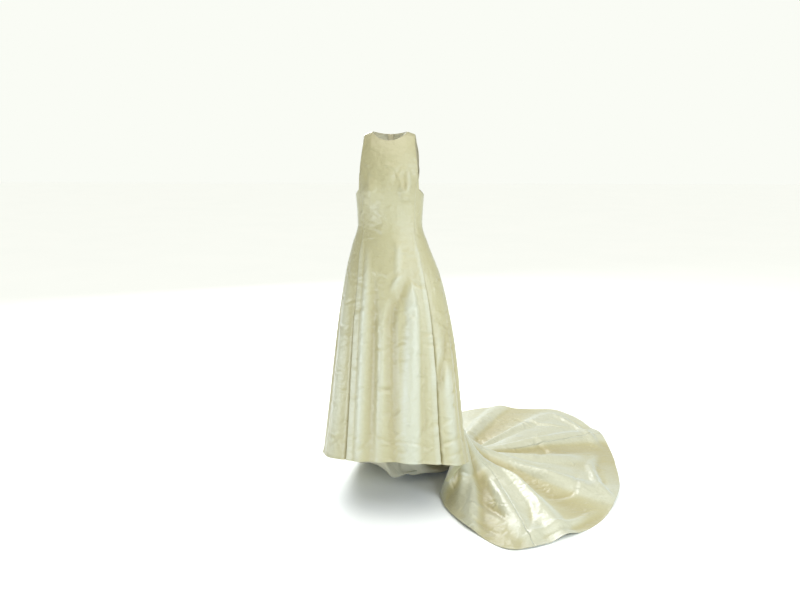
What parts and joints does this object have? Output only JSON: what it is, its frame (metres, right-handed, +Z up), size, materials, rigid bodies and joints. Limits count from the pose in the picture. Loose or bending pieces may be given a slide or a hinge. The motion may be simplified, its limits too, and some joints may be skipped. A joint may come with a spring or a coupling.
{
  "type": "wedding dress",
  "caption": "Sleeveless high-necked satin wedding gown in panels from neck to hem, with two pleats below the waist, a back zip and a train swept to one side.",
  "frame": {"origin": "between the two shoulder straps, in the middle of the neck opening, at the height of the shoulder seams", "axes": "+Z up the standing wearer; the front faces -Y; +X to the right of someone who looks at the front; the train lies 1.45 m below the origin"},
  "size_m": [1.2491, 1.6556, 1.455],
  "materials": {
    "satin": "smooth ivory duchesse satin",
    "tape": "matt woven ivory tape",
    "zip_metal": "ivory enamel"
  },
  "bodies": {
    "gown": {"front_center": "satin", "front_side_l": "satin", "front_side_r": "satin", "back_side_l": "satin", "back_side_r": "satin", "back_center_l": "satin", "back_center_r": "satin", "zip_tape": "tape", "zip_slider": "zip_metal"},
    "pull_tab": {"pull_tab": "zip_metal"}
  },
  "joints": [
    {"name": "pull_tab_hinge", "type": "hinge", "parent": "gown", "child": "pull_tab", "pos_m": [0, 0.076, -0.0235], "axis": [1, 0, 0], "range_deg": [0, 150]}
  ]
}
